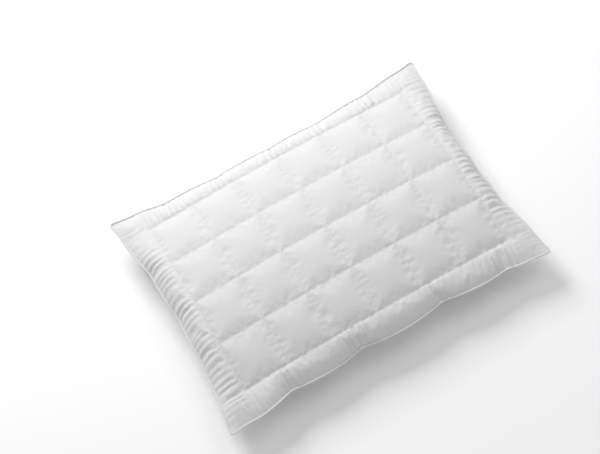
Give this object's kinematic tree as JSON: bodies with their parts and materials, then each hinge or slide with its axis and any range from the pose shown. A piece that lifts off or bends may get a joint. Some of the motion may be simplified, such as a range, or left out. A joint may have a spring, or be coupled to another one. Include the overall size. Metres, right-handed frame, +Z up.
{
  "type": "bed pillow",
  "caption": "Rectangular quilted bed pillow with a piped edge, drawn-in sides, eared corners and a hidden zip under one long edge.",
  "frame": {"origin": "middle of the pillow, on the flat surface it rests on", "axes": "+X along the length, towards the end where the closed zip's slider stands; +Y across the width, away from the zip; +Z up, through the thickness"},
  "size_m": [0.6996, 0.5036, 0.1176],
  "materials": {
    "cover_cloth": "brushed microfibre, soft sheen",
    "wadding": "matt, fluffy",
    "backing_cloth": "matt nonwoven",
    "thread": "polyester sewing thread",
    "piping_cloth": "brushed microfibre",
    "piping_cord": "twisted cord",
    "zip_tape": "herringbone tape",
    "zip_coil": "moulded nylon",
    "zip_metal": "white enamel",
    "label_cloth": "satin ribbon",
    "bag_cloth": "matt nonwoven",
    "fibre": "carded hollow fibre"
  },
  "bodies": {
    "cover": {"top_outer_cloth": "cover_cloth", "top_wadding": "wadding", "top_backing": "backing_cloth", "top_quilt_thread": "thread", "bottom_outer_cloth": "cover_cloth", "bottom_wadding": "wadding", "bottom_backing": "backing_cloth", "bottom_quilt_thread": "thread", "piping_strip": "piping_cloth", "piping_cord": "piping_cord", "edge_seam_thread": "thread", "zip_tape_upper": "zip_tape", "zip_tape_lower": "zip_tape", "zip_coil_upper": "zip_coil", "zip_coil_lower": "zip_coil", "zip_top_stops": "zip_coil", "zip_bottom_stop": "zip_coil", "care_label": "label_cloth", "inner_bag_top": "bag_cloth", "inner_bag_bottom": "bag_cloth", "inner_bag_seam_thread": "thread", "fibre_filling": "fibre"},
    "zip_slider_body": {"zip_slider": "zip_metal"},
    "zip_pull_body": {"zip_pull": "zip_metal"}
  },
  "joints": [
    {"name": "zip_slider_slide", "type": "slide", "parent": "cover", "child": "zip_slider_body", "axis": [-1, 0, 0], "range_m": [0, 0.508]},
    {"name": "zip_pull_swing", "type": "hinge", "parent": "zip_slider_body", "child": "zip_pull_body", "pos_m": [0.255, -0.21807, 0.04088], "axis": [-1, 0, 0], "range_deg": [0, 135]}
  ]
}
